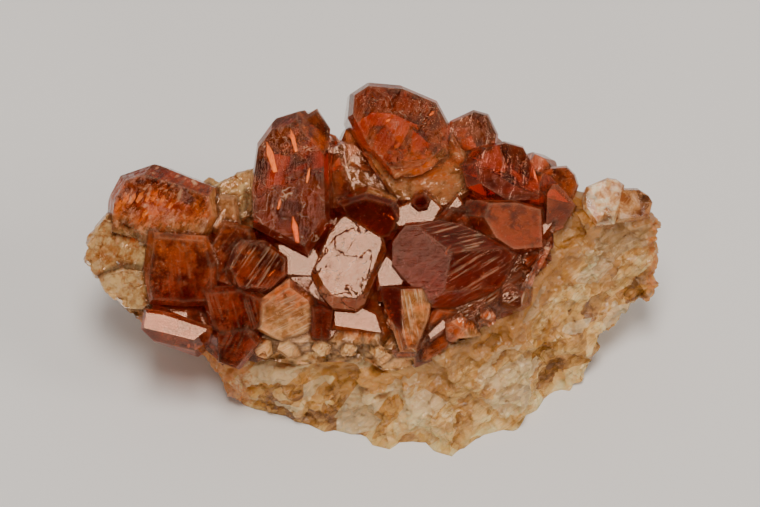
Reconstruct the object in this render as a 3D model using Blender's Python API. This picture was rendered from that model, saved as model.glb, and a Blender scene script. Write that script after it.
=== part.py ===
"""Colemanite on its matrix: a broken wedge of pale massive colemanite that lies on its flat
underside, with a crust of stubby red-brown crystals grown over its top and front brow, and a
pair of paler crystals standing clear of the crust at its right end.

Blender works in metres. The shapes are worked out in millimetres and scaled once, in solid().
World frame: X to the right, Y away, Z up. The specimen ends up with its origin on the resting
plane, under the middle of its box.

Most crystals show their faces along one direction, tilted up and forward out of the crust.
Their faces are laid out in that leaning frame: across (right), up (up the slope) and out."""

import math
import random

import bmesh
import bpy
import numpy as np
from mathutils import Matrix, Vector, noise

MM = 0.001
FACE_TILT = math.radians(52)
ACROSS = Vector((1, 0, 0))
UPSLOPE = Vector((0, math.sin(FACE_TILT), math.cos(FACE_TILT)))
OUTWARD = Vector((0, -math.cos(FACE_TILT), math.sin(FACE_TILT)))

# Room between the rock and what sits in it, the shortest edge worth keeping on a crystal, and
# how near two points of a cut are when they are one.
JOINT_GAP = 0.3
SHORTEST_EDGE = 0.12
SAME_PLACE = 0.006

# A crystal's walls widen a little towards its broad face. Far from that face, at this share of
# its depth, the walls that look upwards slant in.
WALL_FLARE = math.radians(1.5)
END_SLANT = math.radians(38)
END_START = 0.62
BLOCK_REACH = 60.0
MIRROR_LEAN = (0, 12)

# Small crystals round the crust: how far apart along the back rim, their two rows as (inwards,
# above the rim), their half widths, and where they stand along the front brow.
SEED = 7
RIM_SPAN, RIM_SPACING = (-40, 30), 6
RIM_ROWS = ((0.5, 0.2), (5.5, 0.8))
RIM_SIZES = (2.3, 3.4)
BROW_PLACES = (-18, -13.5, -8, -3.5, 1.5, 14.5, 19, 23.5)
BROW_SIZES = (1.5, 2.2)
CRYSTAL_STRETCH = 1.25

# Edges of the rock, as (x, y, z) from the left end to the right: where the front wall meets the
# underside, the front brow, the rear brow, and where the back wall meets the underside.
TOE = [
    (-44, 24, 13), (-38, 18, 9), (-30, 16, 7.5), (-25, 12, 3.7), (-22, 9.5, -3), (-14.5, 6.3, -3),
    (-11, 5.2, -3), (-6.5, 2.6, -3), (3, 1.2, -3), (8.8, 0, -3), (13.8, -3.4, -3), (16.2, -1.8, -3),
    (19, 0.2, -3), (22.3, 1.2, -3), (25.6, 1.6, -3), (28, 5.3, -3), (30.8, 8.6, -3), (36.5, 13.2, 0.2),
    (39.8, 19.2, 5.2), (44.4, 23.2, 9), (46.9, 25.2, 10.9), (49.1, 26.8, 12.6), (50.2, 29, 14.4),
]
BROW = [
    (-44, 22, 17), (-38, 19, 17), (-30, 15, 16), (-25, 12, 13.5), (-20, 11, 15), (-14, 10.5, 16),
    (-5, 10, 16.5), (6, 8.5, 16.5), (13, 11.5, 19), (20, 14, 20.5), (25, 17, 23), (28, 21.5, 25),
    (31.5, 25, 26), (35, 27.5, 27), (40, 29.5, 26), (48, 32, 24.5), (50.2, 31.5, 18),
]
REAR = [
    (-44, 31, 19), (-38, 35, 21), (-30, 36.2, 21.6), (-22, 38.4, 23), (-10, 44, 25), (10, 46, 26.5),
    (20, 43, 26.2), (26, 39, 25.6), (34, 36.5, 26), (42, 35, 24.5), (48, 34.5, 22.5), (50.2, 33, 17.5),
]
HEEL = [
    (-44, 30, 15), (-38, 34, 9), (-30, 37, 3), (-21, 39, -3), (0, 42, -3), (15, 43, -3),
    (30, 39, -3), (38, 35, 4), (44, 34, 9), (50.2, 32, 14.8),
]
ROCK_STEP = 1.6
ROCK_POINTS = (11, 12, 8, 8)
WALL_BULGE = 0.6
GRAIN = 0.8
LUMPS = ((9.0, 1.0), (4.6, 0.62), (2.6, 0.2))
LUMP_TILT = 0.9
ROCK_FACES = 3000

# The crust's bed: crystal bases grown into one skin over the rock's top. Crystals and bed
# are rooted this deep in the rock. The core is what lies deeper.
BED_SPAN = (-42.5, 30.5)
BED_STEP = 2.9
BED_POINTS = (2, 9, 2, 2)
BED_RISE, BED_LIP, BED_DROP = 2.3, 1.3, 3.2
BED_LUMPS = ((5.0, 0.6),)
ROOT = 2.2
CORE_SPAN = (-41.5, 35)
CORE_STEP = 5.0
CORE_POINTS = (3, 4, 3, 1)
CORE_FLOOR = -9.0

# Unit cell of colemanite, in angstroms and degrees, and the faces that its stubby crystals
# show, each with how far it stands from the middle as a share of the crystal's half width.
CELL_A, CELL_B, CELL_C, CELL_BETA = 8.743, 11.264, 6.102, math.radians(110.12)
HABIT = [
    ((1, 1, 0), 1.0), ((1, -1, 0), 1.0), ((-1, 1, 0), 1.0), ((-1, -1, 0), 1.0),
    ((0, 1, 0), 1.12), ((0, -1, 0), 1.12), ((3, 0, 1), 1.08), ((-3, 0, -1), 1.08),
    ((0, 0, 1), 1.1), ((0, 0, -1), 1.1), ((0, 1, 1), 1.16), ((0, -1, 1), 1.16),
    ((-2, 2, 1), 1.04), ((-2, -2, 1), 1.04), ((0, 1, -1), 1.16), ((0, -1, -1), 1.16),
]

# Crystals of the left end
LEFT_CRYSTALS = {
    "honey_block": dict(
        outline=[(-37.2, 47), (-41, 45.7), (-43, 42), (-43.3, 37.2), (-37, 35.5), (-28.7, 35.8),
                 (-26.7, 40), (-27.2, 43.5), (-32.2, 45)],
        out=5.0, lean=(-7, 2), depth=15,
        rims=[(1.4, 2.6), (1.7, 2.6), (1.7, 3.6), (1.2, 3), (0.7, 3), (0.8, 3), (0.8, 3), (2.2, 3),
              (1.8, 2.4)],
    ),
    "outer_lobe": dict(
        outline=[(-44.5, 39.5), (-47.6, 36), (-48.3, 32.2), (-46.3, 30), (-42, 29), (-37.8, 30.8),
                 (-37.3, 35), (-40.2, 38.3)],
        out=3.6, lean=(-14, -4), depth=12, rims=(0.7, 1.4),
    ),
    "lower_lobe": dict(
        outline=[(-45.4, 29.2), (-44.6, 27.1), (-43.1, 25.4), (-41.6, 24.1), (-38.4, 24), (-36, 26),
                 (-36.3, 30.4), (-42, 31)],
        out=4.0, lean=(-9, -14), depth=10, rims=(0.5, 1.2),
    ),
    "red_block": dict(
        outline=[(-28, 35.6), (-36, 36.2), (-37, 29), (-36.4, 26), (-31.2, 25.6), (-26.6, 25.8),
                 (-26.6, 31.5)],
        out=7.6, lean=(-4, -3), depth=13,
        rims=[(0.9, 0.8), (1.6, 2.6), (0.8, 1.2), (0.9, 1.6), (0.9, 1.6), (0.8, 1.4), (0.9, 1.2)],
    ),
    "mirror_foot": dict(
        outline=[(-37.3, 24.3), (-37.8, 21.3), (-29.5, 19.3), (-27.5, 20.8), (-26.8, 22.3),
                 (-34.5, 23.4)],
        out=8.2, lean=MIRROR_LEAN, depth=8.5,
        rims=[(0.6, 1.2), (1.3, 2.6), (1.1, 2.6), (0.8, 1.6), (0.8, 0.8), (0.8, 0.7)],
        chips=[((-36, 18.8, 5), (-90, -70)), ((-37.4, 20.2, 5), (-90, -44))],
    ),
    "saddle_back": dict(
        outline=[(-27.6, 45.8), (-28, 40), (-23.7, 38.8), (-20.3, 40), (-20.3, 48.4), (-23, 47)],
        out=0.8, lean=(-3, 14), depth=10, rims=(0.6, 0.8),
    ),
    "saddle_front": dict(
        outline=[(-27.8, 43), (-28.6, 39), (-25.5, 37.6), (-22.6, 39), (-23.2, 42.6)],
        out=3.4, lean=(6, 4), depth=10, rims=(0.8, 1.2),
    ),
}

# Crystals left of the middle
INNER_LEFT_CRYSTALS = {
    "tall": dict(
        outline=[(-12.8, 55.2), (-16.7, 54), (-18.9, 51), (-19.9, 44.2), (-19.6, 39.2), (-11.2, 34.9),
                 (-7.8, 40), (-8, 50)],
        out=8.6, lean=(-5, 3), depth=15,
        rims=[(2.0, 2.8), (0.9, 2.0), (0.5, 2.0), (0.5, 2.4), (1.2, 1.5), (1.2, 1.4), (0.6, 2.0),
              (2.6, 4.2)],
        chips=[((-8.6, 57.4, 5.0), (14, 38))],
    ),
    "tall_cap": dict(
        outline=[(-9, 57.2), (-11.6, 55.6), (-11, 52), (-7.6, 50.4), (-7.2, 54.4)],
        out=5.2, lean=(16, 6), depth=12, rims=(0.5, 0.9),
    ),
    "hexagon": dict(
        outline=[(-17.8, 35.2), (-20.7, 35.3), (-22.2, 34), (-23.4, 31), (-22, 28.2), (-16.8, 27.8),
                 (-14.4, 30.2), (-14.4, 32.7)],
        out=9.2, lean=(4, -3), depth=14,
        rims=[(0.5, 0.8), (0.9, 1.0), (0.8, 1.2), (1.0, 2.2), (2.2, 2.6), (1.1, 1.8), (0.5, 1), (0.5, 1)],
    ),
    "hexagon_shoulder": dict(
        outline=[(-24.5, 38.6), (-27.2, 34), (-26.5, 29.5), (-22.5, 28), (-19.5, 33), (-20.5, 37.5)],
        out=6.4, lean=(-10, 9), depth=12, rims=(0.7, 1.2),
    ),
    "low_left": dict(
        outline=[(-27.6, 27), (-26.4, 21.6), (-22.6, 18.8), (-18.8, 21.6), (-17.8, 25.6), (-21.8, 27.4)],
        out=8.2, lean=(-6, -9), depth=12, rims=(0.8, 1.4),
    ),
    "low_left_wedge": dict(
        outline=[(-25.6, 20.4), (-25.4, 15.6), (-22.6, 14.6), (-19.2, 18.6), (-21, 21)],
        out=7.4, lean=(-16, -14), depth=10, rims=(0.6, 1.2),
    ),
    "silky": dict(
        outline=[(-17.9, 25), (-18.3, 21), (-13.7, 18.4), (-9.6, 21.6), (-10.5, 25.8), (-13.6, 28)],
        out=9.0, lean=(2, -12), depth=12,
        rims=[(0.9, 1), (0.8, 1.6), (0.9, 1.6), (1.2, 1.2), (1.0, 1.0), (1.0, 1.0)],
    ),
    "silky_corner": dict(
        outline=[(-9.6, 24.4), (-9.5, 19.6), (-7.2, 19.2), (-6.4, 24.2)],
        out=8.8, lean=(14, -6), depth=11, rims=(0.6, 1.2),
    ),
    "mirror_upper": dict(
        outline=[(-15.6, 35), (-14.2, 30.2), (-9.6, 29.9), (-8.5, 32), (-10, 35.2)],
        out=7.2, lean=MIRROR_LEAN, depth=11, rims=(0.5, 0.7),
    ),
    "mirror_lower": dict(
        outline=[(-15.2, 29.6), (-12.7, 28.2), (-11.7, 26.2), (-8.8, 23.6), (-7.3, 24.5), (-9.6, 29.8)],
        out=8.6, lean=(2, 8), depth=12, rims=(0.6, 1.0),
    ),
}

# Crystals of the middle
MIDDLE_CRYSTALS = {
    "silver": dict(
        outline=[(-4.3, 39.6), (-5.8, 39.5), (-6.8, 37.2), (-10.2, 33.2), (-8, 28.5), (-6.3, 26.6),
                 (-2.7, 26.3), (-1.2, 27.4), (0.2, 31.3), (1.7, 34.8), (1.4, 36.2)],
        out=10.4, lean=(-1, 11), depth=14,
        rims=[(0.4, 1.0), (0.4, 1.2), (0.5, 1.3), (1.1, 1.6), (1.3, 1.7), (1.7, 1.8), (1.4, 1.6),
              (1.0, 1.3), (0.9, 1.3), (0.6, 1.2), (0.5, 1.1)],
    ),
    "mirror_below": dict(
        outline=[(-6.2, 24.3), (-6.1, 21.7), (1.5, 20.5), (0.6, 23.4), (-2.2, 24.8)],
        out=8.4, lean=(1, 9), depth=11, rims=(0.6, 1.2),
    ),
    "mirror_right": dict(
        outline=[(2.4, 33), (0.9, 30.7), (1.3, 28.2), (4.8, 28.5), (5.7, 30.2)],
        out=8.8, lean=MIRROR_LEAN, depth=12, rims=(0.5, 0.7),
    ),
    "dark_red": dict(
        outline=[(-1, 42.8), (-4.9, 41.5), (-3.5, 38.6), (0.6, 36.2), (2.8, 36.5), (4.4, 39),
                 (3.3, 41.6)],
        out=6.6, lean=(-4, -10), depth=12, rims=(0.8, 0.8),
    ),
    "clear_back": dict(
        outline=[(-5.2, 52), (-6.8, 51), (-6.3, 43), (-2, 41.7), (3, 42.5), (2.2, 46.7), (-0.5, 49.8),
                 (-3.2, 51.9)],
        out=-0.4, lean=(-5, 9), depth=11, rims=(0.6, 1.0),
    ),
    "clear_brown": dict(
        outline=[(-5.6, 49.6), (-7.2, 47.6), (-6.9, 41.2), (-4.4, 41.2), (-3.8, 45)],
        out=2.6, lean=(12, 4), depth=11, rims=(0.5, 1.0),
    ),
    "red_leaning": dict(
        outline=[(4.8, 27.7), (5, 20.6), (5.9, 17.9), (7.3, 17.9), (9.1, 22.6), (9.6, 25.2), (8.3, 27.8)],
        out=12.0, lean=(8, 2), depth=13,
        rims=[(2.9, 1.8), (1.2, 1.2), (0.5, 1.2), (0.4, 1.2), (0.4, 1.0), (0.5, 1.0), (0.5, 0.9)],
    ),
    "red_split": dict(
        outline=[(9.6, 24.4), (9.4, 21.6), (6.9, 17.4), (7.2, 16.3), (9, 16), (12.4, 17.9), (13.5, 21),
                 (14, 23.8)],
        out=9.6, lean=(13, -8), depth=12, rims=(0.5, 1.1),
    ),
    "slot_mirror": dict(
        outline=[(11.8, 22.6), (9.3, 20.2), (9.7, 19.6), (12.4, 21.6)],
        out=10.6, lean=(2, 11), depth=9, rims=(0.35, 0.7),
    ),
}

# Crystals right of the middle
INNER_RIGHT_CRYSTALS = {
    "great": dict(
        outline=[(-0.6, 61.5), (-2.9, 60), (-3.2, 56.8), (-0.8, 52), (3.2, 47.6), (8, 48.2),
                 (12.4, 51.6), (12.6, 55), (10.6, 58.7), (5.2, 61)],
        out=4.6, lean=(3, 4), depth=14,
        rims=[(0.7, 2.6), (0.7, 3.0), (0.8, 3.2), (1.1, 2.8), (1.6, 1.2), (1.6, 1.2), (0.5, 1.2),
              (0.5, 1.4), (0.6, 1.6), (0.8, 1.8)],
    ),
    "great_foot": dict(
        outline=[(-0.6, 50), (4.4, 42.6), (12, 41.6), (16.3, 44.2), (15.5, 49.2), (13.2, 53), (6, 53)],
        out=3.4, lean=(2, -3), depth=13, rims=(0.7, 1.0),
    ),
    "slate": dict(
        outline=[(5.5, 38.2), (3.4, 35.4), (3.4, 31.9), (5, 29.8), (9.4, 25.4), (14, 24.8), (18.4, 25),
                 (22, 26.6), (24.8, 28.8), (24.6, 32.6), (20.6, 34.6), (13, 38), (9.8, 38.6)],
        out=11.9, lean=(-9, 3), depth=18,
        rims=[(0.4, 1.0), (0.4, 1.6), (0.5, 1.6), (0.6, 1.4), (0.6, 1.4), (0.6, 1.6), (0.7, 1.6),
              (0.5, 1.6), (0.5, 1.6), (0.8, 1.6), (1.0, 1.6), (0.8, 1.2), (0.5, 0.9)],
        chips=[((13, 32, 11.7), (23, -3)), ((19, 27.6, 8.7), (26, -42)), ((20.6, 35.2, 8), (20, 34)),
               ((23.4, 30.6, 6.6), (52, -10))],
    ),
    "broad_tan": dict(
        outline=[(19.4, 42), (18.6, 39.6), (20.6, 36.2), (23.6, 34.3), (28.2, 34.7), (28, 40.9),
                 (24, 42)],
        out=8.0, lean=(3, 5), depth=14,
        rims=[(3.6, 2.4), (3.0, 2.6), (0.9, 1.6), (0.5, 1.4), (0.4, 1.4), (0.5, 1.2), (0.6, 1.2)],
    ),
    "smoky": dict(
        outline=[(19, 51.2), (17.2, 48.6), (18, 45.2), (22.6, 42.4), (27.8, 42.6), (27.9, 45),
                 (26.9, 48), (25.2, 51.2), (22.4, 52)],
        out=4.9, lean=(7, 7), depth=14,
        rims=[(1.6, 1.8), (2.0, 2.0), (1.2, 1.8), (0.8, 1.8), (0.4, 1.6), (0.5, 2.0), (0.5, 1.8),
              (0.5, 1.4), (0.5, 1.0)],
    ),
    "orange_top": dict(
        outline=[(17.2, 57.3), (13.6, 55.6), (12.6, 53.2), (16, 51), (20.6, 52.2), (20.8, 53.6),
                 (19.3, 56.7)],
        out=0.8, lean=(6, 6), depth=11, rims=(0.5, 1.1),
    ),
    "far_shoulder": dict(
        outline=[(29.9, 47.8), (28.2, 46.6), (28.8, 43.5), (33.4, 43), (34.3, 45.2), (33.8, 46.8),
                 (32.6, 48)],
        out=1.2, lean=(7, 8), depth=10, rims=(0.5, 1.2),
    ),
    "plate": dict(
        outline=[(31.2, 45.1), (30, 45), (29.2, 43.6), (29, 38.8), (29.4, 36.9), (30.8, 36.6),
                 (31.8, 38.2), (33.9, 39.4), (34, 42), (32.2, 43.8)],
        out=5.0, lean=(4, 4), depth=12, rims=(0.35, 1.4),
    ),
    "mirror_high": dict(
        outline=[(9.2, 43.2), (3.5, 40.7), (4.3, 38.2), (10, 39), (11.3, 41.2)],
        out=6.4, lean=MIRROR_LEAN, depth=12, rims=(0.45, 0.7),
    ),
    "mirror_bead": dict(
        outline=[(8.6, 43.4), (7.2, 42.9), (6.7, 41.9), (7.7, 40.9), (9, 41.3), (9.4, 42.5)],
        out=7.3, lean=(-6, -2), depth=7, rims=(0.25, 0.4),
    ),
    "mirror_chip": dict(
        outline=[(14.2, 43), (12.8, 41.2), (13.4, 40.6), (14.9, 41.8)],
        out=6.2, lean=MIRROR_LEAN, depth=10, rims=(0.45, 0.7),
    ),
    "between": dict(
        outline=[(13.4, 41), (11.6, 39.2), (14, 36.6), (18, 37.4), (18.4, 40.6)],
        out=6.6, lean=(8, 2), depth=11, rims=(0.8, 1.0),
    ),
}

# The pale pair at the right end, which stands clear of the crust
END_CRYSTALS = {
    "pale": dict(
        outline=[(39.5, 46), (36.2, 44.6), (35.7, 43.3), (35.8, 41.4), (37.6, 38.8), (41, 39.2),
                 (41.5, 43), (42.1, 44.8), (40.7, 45.8)],
        out=3.0, lean=(3, 11), depth=10, rims=(0.45, 0.9),
    ),
    "amber": dict(
        outline=[(44.7, 44.2), (41.6, 44.2), (41.3, 39.4), (44.2, 39.6), (46.4, 40.1), (46.9, 42.2),
                 (46.3, 43.2)],
        out=1.8, lean=(14, 6), depth=9, rims=(0.5, 1.4),
    ),
}


def place(across, up, out):
    """World point, in millimetres, of a point in the leaning frame."""
    return ACROSS * across + UPSLOPE * up + OUTWARD * out


def facing(sideways, upward):
    """Unit normal of a face turned from the outward direction by these degrees."""
    turn, rise = math.radians(sideways), math.radians(upward)
    flat = OUTWARD * math.cos(turn) + ACROSS * math.sin(turn)
    return (flat * math.cos(rise) + UPSLOPE * math.sin(rise)).normalized()


def cleave(middle, planes):
    """A convex solid: a block cut away outside each plane, given as (point, outward normal)."""
    block = bmesh.new()
    bmesh.ops.create_cube(block, size=BLOCK_REACH, matrix=Matrix.Translation(middle))
    for point, normal in planes:
        everything = block.verts[:] + block.edges[:] + block.faces[:]
        cut = bmesh.ops.bisect_plane(
            block, geom=everything, plane_co=point, plane_no=normal, clear_outer=True
        )
        rim = [item for item in cut["geom_cut"] if isinstance(item, bmesh.types.BMEdge)]
        if len(rim) > 2:
            bmesh.ops.contextual_create(block, geom=rim)
    bmesh.ops.remove_doubles(block, verts=block.verts[:], dist=SHORTEST_EDGE)
    shape = bmesh.new()
    for vertex in block.verts:
        shape.verts.new(vertex.co)
    block.free()
    hull = bmesh.ops.convex_hull(shape, input=shape.verts[:])
    inside = {item for item in hull["geom_interior"] if isinstance(item, bmesh.types.BMVert)}
    bmesh.ops.delete(shape, geom=list(inside), context="VERTS")
    bmesh.ops.recalc_face_normals(shape, faces=shape.faces[:])
    return shape


def face_crystal(grow, outline, out, lean, depth, rims, chips=()):
    """A crystal with one broad face of the given outline, as (across, up) points, anticlockwise.

    Each edge drops to a narrower face, (width, fall) in rims, and then to the crystal's wall.
    A chip is one more face: a point (across, up, out) on it and its (sideways, upward) turn.
    All its faces stand this much further out, where it is grown to make room."""
    normal = facing(*lean)
    count = len(outline)
    middle_across = sum(a for a, _ in outline) / count
    middle_up = sum(u for _, u in outline) / count
    middle = place(middle_across, middle_up, out)
    corners = []
    for across, up in outline:
        flat = place(across, up, out)
        corners.append(flat + OUTWARD * ((middle - flat).dot(normal) / OUTWARD.dot(normal)))
    if isinstance(rims, tuple):
        rims = [rims] * count
    planes = [(middle + normal * grow, normal), (middle - normal * (depth + grow), -normal)]
    for i, (width, fall) in enumerate(rims):
        edge = corners[(i + 1) % count] - corners[i]
        side = edge.cross(normal).normalized()
        bevel = (normal * width + side * fall).normalized()
        wall = side * math.cos(WALL_FLARE) + normal * math.sin(WALL_FLARE)
        planes.append((corners[i] + bevel * grow, bevel))
        planes.append((corners[i] + side * width - normal * fall + wall * grow, wall))
        if side.dot(UPSLOPE) > 0.3:
            slant = side * math.cos(END_SLANT) - normal * math.sin(END_SLANT)
            shoulder = corners[i] + side * width - normal * depth * END_START
            planes.append((shoulder + slant * grow, slant))
    for (across, up, level), turn in chips:
        planes.append((place(across, up, level) + facing(*turn) * grow, facing(*turn)))
    return cleave(middle - normal * depth / 2, planes)


def habit_normals():
    """Face normals of the habit, from the monoclinic cell's reciprocal axes."""
    a = Vector((CELL_A * math.sin(CELL_BETA), 0, CELL_A * math.cos(CELL_BETA)))
    b = Vector((0, CELL_B, 0))
    c = Vector((0, 0, CELL_C))
    across_a, across_b, across_c = b.cross(c), c.cross(a), a.cross(b)
    return [
        ((across_a * h + across_b * k + across_c * l).normalized(), far)
        for (h, k, l), far in HABIT
    ]


def habit_crystal(grow, middle, half_width, axis, spin):
    """A small whole crystal of the species' own shape, with its long axis along the given one."""
    turn = axis.to_track_quat("Z", "Y").to_matrix() @ Matrix.Rotation(spin, 3, "Z")
    planes = []
    for normal, far in habit_normals():
        outward = turn @ normal
        distance = half_width * far * (1 + (CRYSTAL_STRETCH - 1) * abs(normal.z)) + grow
        planes.append((middle + outward * distance, outward))
    return cleave(middle, planes)


def along(line, x):
    """The point of one of the rock's edge lines at x."""
    xs, ys, zs = zip(*line)
    return Vector((x, np.interp(x, xs, ys), np.interp(x, xs, zs)))


def lump(point, sizes):
    """How far a broken surface stands out at a point: tilted chips of several sizes."""
    height = 0.0
    for size, amount in sizes:
        centre = noise.voronoi(point / size)[1][0]
        tilt = noise.cell_vector(centre * 17.3) * 2 - Vector((1, 1, 1))
        level = noise.cell(centre * 9.1 + Vector((0.5, 0.5, 0.5))) - 0.5
        height += amount * (level + LUMP_TILT * tilt.dot(point / size - centre))
    return height


def moved(line, y, z):
    """An edge line, shifted back by y and up by z."""
    return [(p[0], p[1] + y, p[2] + z) for p in line]


def loft(lines, span, spacing, counts, bulge=0.0):
    """A closed body through four edge lines, each pair joined by a row of points bowed outwards."""
    shape = bmesh.new()
    steps = round((span[1] - span[0]) / spacing)
    rings = []
    for step in range(steps + 1):
        x = span[0] + (span[1] - span[0]) * step / steps
        corners = [along(line, x) for line in lines]
        ring = []
        for i, count in enumerate(counts):
            start, end = corners[i], corners[(i + 1) % len(corners)]
            away = Vector((0, start.z - end.z, end.y - start.y)).normalized()
            for k in range(count):
                bow = away * bulge * math.sin(math.pi * k / count)
                ring.append(shape.verts.new(start.lerp(end, k / count) + bow))
        rings.append(ring)
    for ring, after in zip(rings, rings[1:]):
        for k, vertex in enumerate(ring):
            following = (k + 1) % len(ring)
            shape.faces.new((vertex, ring[following], after[following], after[k]))
    bmesh.ops.triangulate(shape, faces=shape.faces[:], quad_method="FIXED")
    ends = [shape.faces.new(rings[0]), shape.faces.new(rings[-1])]
    bmesh.ops.recalc_face_normals(shape, faces=shape.faces[:])
    bmesh.ops.poke(shape, faces=ends)
    return shape


def regrain(target, grain):
    """Rebuilds a body's skin in even squares of this size, with no fold that crosses itself."""
    change = target.modifiers.new("grain", "REMESH")
    change.mode = "VOXEL"
    change.voxel_size = grain * MM
    target.data = evaluated(target)


def roughen(target, sizes):
    """Breaks a body's surface into tilted chips and ledges."""
    for vertex, normal in [(v, v.normal.copy()) for v in target.data.vertices]:
        vertex.co += normal * lump(vertex.co / MM, sizes) * MM


def thin(target, faces):
    """Keeps about this many triangles, fewest where the surface is flattest."""
    change = target.modifiers.new("chips", "DECIMATE")
    change.ratio = faces / sum(len(face.vertices) - 2 for face in target.data.polygons)
    target.data = evaluated(target)


def solid(name, shape):
    """An object made of a shape worked out in millimetres."""
    bmesh.ops.scale(shape, vec=(MM, MM, MM), verts=shape.verts[:])
    mesh = bpy.data.meshes.new(name)
    shape.to_mesh(mesh)
    shape.free()
    made = bpy.data.objects.new(name, mesh)
    bpy.context.scene.collection.objects.link(made)
    return made


def evaluated(target):
    """The target's mesh with its modifiers applied, which it then no longer has."""
    bpy.context.view_layer.update()
    graph = bpy.context.evaluated_depsgraph_get()
    mesh = bpy.data.meshes.new_from_object(target.evaluated_get(graph))
    target.modifiers.clear()
    return mesh


def combine(base, others, operation):
    """Base with the others all joined to it, or all cut from it. The others are removed."""
    group = bpy.data.collections.new("with " + base.name)
    for other in others:
        group.objects.link(other)
    change = base.modifiers.new(group.name, "BOOLEAN")
    change.operation = operation
    change.solver = "EXACT"
    change.operand_type = "COLLECTION"
    change.collection = group
    base.data = evaluated(base)
    for other in others:
        bpy.data.objects.remove(other)
    bpy.data.collections.remove(group)


def swollen(source, amount):
    """A copy of an object with its surface moved outwards."""
    mesh = source.data.copy()
    normals = [v.normal.copy() for v in mesh.vertices]
    for vertex, normal in zip(mesh.vertices, normals):
        vertex.co += normal * amount * MM
    copy = bpy.data.objects.new(source.name + "_swollen", mesh)
    bpy.context.scene.collection.objects.link(copy)
    return copy


def mend(target):
    """Merges points that a cut left on each other, and removes its fins and loose crumbs."""
    shape = bmesh.new()
    shape.from_mesh(target.data)
    bmesh.ops.remove_doubles(shape, verts=shape.verts[:], dist=SAME_PLACE * MM)
    by_corners = {}
    for face in shape.faces:
        by_corners.setdefault(frozenset(face.verts), []).append(face)
    fins = [face for faces in by_corners.values() if len(faces) > 1 for face in faces]
    bmesh.ops.delete(shape, geom=fins, context="FACES")
    left = set(shape.verts)
    bodies = []
    while left:
        body = {left.pop()}
        fringe = list(body)
        while fringe:
            vertex = fringe.pop()
            near = {edge.other_vert(vertex) for edge in vertex.link_edges} & left
            left -= near
            body |= near
            fringe.extend(near)
        bodies.append(body)
    bodies.sort(key=len)
    crumbs = [vertex for body in bodies[:-1] for vertex in body]
    bmesh.ops.delete(shape, geom=crumbs, context="VERTS")
    shape.to_mesh(target.data)
    shape.free()


def finish(target, colour, roughness):
    """Flat-shaded facets in one plain material."""
    material = bpy.data.materials.new(target.name)
    material.use_nodes = True
    surface = material.node_tree.nodes["Principled BSDF"]
    surface.inputs["Base Color"].default_value = (*colour, 1)
    surface.inputs["Roughness"].default_value = roughness
    surface.inputs["Metallic"].default_value = 0
    target.data.materials.clear()
    target.data.materials.append(material)
    target.data.shade_flat()


def small_crystals(grow):
    """Small whole crystals round the crust's back rim and along its lower front edge."""
    random.seed(SEED)
    made = []
    for x in range(*RIM_SPAN, RIM_SPACING):
        for inward, lift in RIM_ROWS:
            aside = random.uniform(-1.5, 1.5) + inward * 0.45
            middle = along(REAR, x) + Vector((aside, -inward, lift))
            axis = Vector((random.uniform(-0.5, 0.5), random.uniform(0.2, 0.8), 1)).normalized()
            size = random.uniform(*RIM_SIZES)
            made.append(habit_crystal(grow, middle, size, axis, random.uniform(0, math.tau)))
    for x in BROW_PLACES:
        middle = along(BROW, x) + OUTWARD * random.uniform(0.1, 0.7)
        axis = (OUTWARD + ACROSS * random.uniform(-0.8, 0.8)).normalized()
        size = random.uniform(*BROW_SIZES)
        made.append(habit_crystal(grow, middle, size, axis, random.uniform(0, math.tau)))
    return made


def crust_crystals(grow):
    groups = (LEFT_CRYSTALS, INNER_LEFT_CRYSTALS, MIDDLE_CRYSTALS, INNER_RIGHT_CRYSTALS)
    large = [face_crystal(grow, **crystal) for group in groups for crystal in group.values()]
    return large + small_crystals(grow)


def end_crystals(grow):
    return [face_crystal(grow, **crystal) for crystal in END_CRYSTALS.values()]


def make_rock():
    lines = (TOE, BROW, REAR, HEEL)
    span = (TOE[0][0], TOE[-1][0])
    rock = solid("matrix", loft(lines, span, ROCK_STEP, ROCK_POINTS, WALL_BULGE))
    regrain(rock, GRAIN)
    roughen(rock, LUMPS)
    regrain(rock, GRAIN)
    thin(rock, ROCK_FACES)
    shape = bmesh.new()
    shape.from_mesh(rock.data)
    cut = bmesh.ops.bisect_plane(
        shape, geom=shape.verts[:] + shape.edges[:] + shape.faces[:],
        plane_co=(0, 0, 0), plane_no=(0, 0, -1), clear_outer=True,
    )
    rim = [item for item in cut["geom_cut"] if isinstance(item, bmesh.types.BMEdge)]
    bmesh.ops.contextual_create(shape, geom=rim)
    bmesh.ops.recalc_face_normals(shape, faces=shape.faces[:])
    shape.to_mesh(rock.data)
    shape.free()
    return rock


def make_bed(name):
    lines = (
        moved(BROW, -BED_LIP, -BED_DROP), moved(BROW, -BED_LIP * 0.6, BED_RISE),
        moved(REAR, 0.6, BED_RISE), moved(REAR, 1.0, -BED_DROP),
    )
    bed = solid(name, loft(lines, BED_SPAN, BED_STEP, BED_POINTS))
    roughen(bed, BED_LUMPS)
    return bed


def make_core(grow):
    """The part of the rock that nothing is rooted in, grown inwards to make room."""
    depth = ROOT + grow
    span = (CORE_SPAN[0] + grow, CORE_SPAN[1] - grow)
    lines = (
        moved([(x, y, CORE_FLOOR) for x, y, _ in TOE], depth, 0), moved(BROW, depth, -depth),
        moved(REAR, -depth, -depth), moved([(x, y, CORE_FLOOR) for x, y, _ in HEEL], -depth, 0),
    )
    return solid("core", loft(lines, span, CORE_STEP, CORE_POINTS))


def united(name, shapes):
    """One object of crystals that grow through each other."""
    first, *others = [solid(f"{name}_{i}", shape) for i, shape in enumerate(shapes)]
    first.name = name
    combine(first, others, "UNION")
    return first


def make_crust(name, bed, grow):
    """The bed with its crystals, down to the core of the rock."""
    crust = united(name, crust_crystals(grow))
    combine(crust, [bed], "UNION")
    combine(crust, [make_core(grow)], "DIFFERENCE")
    return crust


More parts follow.
